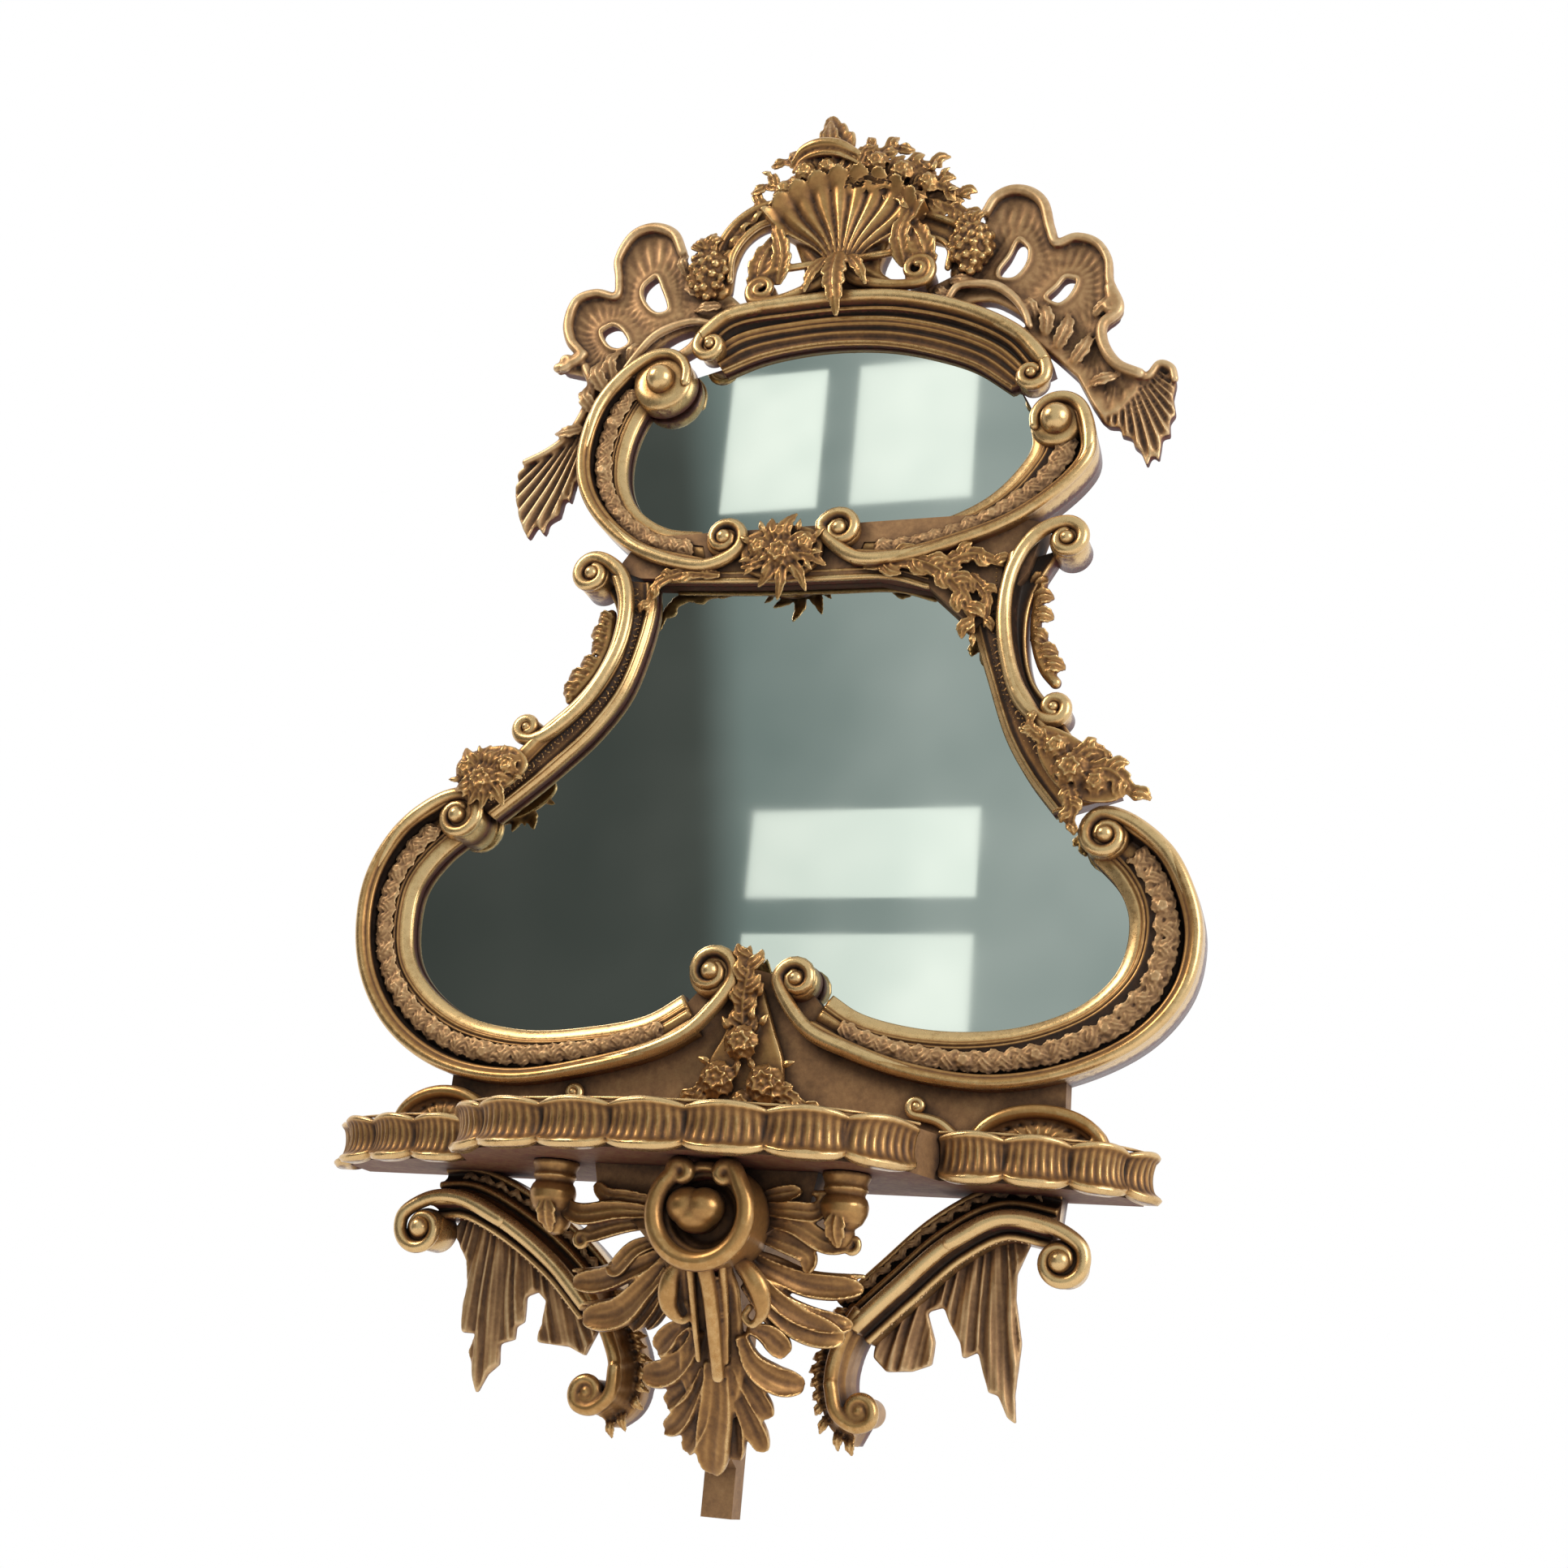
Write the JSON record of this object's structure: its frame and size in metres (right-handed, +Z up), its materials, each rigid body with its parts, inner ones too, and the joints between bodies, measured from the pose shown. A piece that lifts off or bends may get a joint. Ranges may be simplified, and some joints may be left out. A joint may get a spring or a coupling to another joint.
{
  "type": "pier mirror",
  "caption": "Carved giltwood pier mirror with a pierced crest, an oval upper plate, a bell-shaped lower plate and a bow-fronted shelf on an openwork bracket.",
  "frame": {"origin": "the wall plane on the centre line, at the back of the rail between the two mirror plates", "axes": "+Z up, +Y into the wall, so the front faces -Y, and +X to the right as seen from the front"},
  "size_m": [0.8909, 0.2411, 1.5317],
  "materials": {
    "burnished_gilding": "water-gilt carved wood, burnished on the raised edges",
    "matte_gilding": "water-gilt carved wood, worn and matte",
    "mirror_glass": "silvered glass",
    "backing_board": "bare softwood board",
    "zinc_steel": "zinc-plated steel"
  },
  "bodies": {
    "mirror": {"oval_left": "burnished_gilding", "oval_right": "burnished_gilding", "oval_arch": "burnished_gilding", "waist_left": "burnished_gilding", "waist_right": "burnished_gilding", "lobe_left": "burnished_gilding", "lobe_right": "burnished_gilding", "middle_rail": "matte_gilding", "apron_panel": "matte_gilding", "mirror_plate_upper": "mirror_glass", "mirror_plate_lower": "mirror_glass", "backboard_upper": "backing_board", "backboard_lower": "backing_board", "shelf_board": "matte_gilding", "shelf_edge_middle": "burnished_gilding", "shelf_edge_left": "burnished_gilding", "shelf_edge_right": "burnished_gilding", "shelf_ear_left": "burnished_gilding", "shelf_ear_right": "burnished_gilding", "middle_flowers": "burnished_gilding", "corner_leaf_left": "burnished_gilding", "corner_leaf_right": "burnished_gilding", "shoulder_flowers_left": "burnished_gilding", "shoulder_flowers_right": "burnished_gilding", "waist_leaves_left": "burnished_gilding", "waist_leaves_right": "burnished_gilding", "garland": "burnished_gilding", "crest_shell": "burnished_gilding", "finial_leaf": "burnished_gilding", "flower_spray": "burnished_gilding", "grapes_left": "burnished_gilding", "grapes_right": "burnished_gilding", "crest_arm_left": "burnished_gilding", "crest_arm_right": "burnished_gilding", "wing_left": "matte_gilding", "wing_right": "matte_gilding", "bracket_backbone": "matte_gilding", "boss_ring": "burnished_gilding", "cabochon": "burnished_gilding", "acanthus": "burnished_gilding", "corbel_left": "burnished_gilding", "corbel_right": "burnished_gilding", "bracket_arm_left": "burnished_gilding", "bracket_arm_right": "burnished_gilding", "bracket_foot_left": "burnished_gilding", "bracket_foot_right": "burnished_gilding", "side_leaf_left": "burnished_gilding", "side_leaf_right": "burnished_gilding", "upper_leaf_left": "burnished_gilding", "upper_leaf_right": "burnished_gilding", "drop_left": "matte_gilding", "drop_right": "matte_gilding", "hanger_strap_left": "zinc_steel", "hanger_screw_left_1": "zinc_steel", "hanger_screw_left_2": "zinc_steel", "hanger_strap_right": "zinc_steel", "hanger_screw_right_1": "zinc_steel", "hanger_screw_right_2": "zinc_steel"},
    "d_ring_left": {"hanger_ring_left": "zinc_steel"},
    "d_ring_right": {"hanger_ring_right": "zinc_steel"}
  },
  "joints": [
    {"name": "d_ring_left_swing", "type": "hinge", "parent": "mirror", "child": "d_ring_left", "pos_m": [-0.251, -0.0044, 0.115], "axis": [1, 0, 0], "range_deg": [0, 180]},
    {"name": "d_ring_right_swing", "type": "hinge", "parent": "mirror", "child": "d_ring_right", "pos_m": [0.28, -0.0044, 0.115], "axis": [1, 0, 0], "range_deg": [0, 180]}
  ]
}
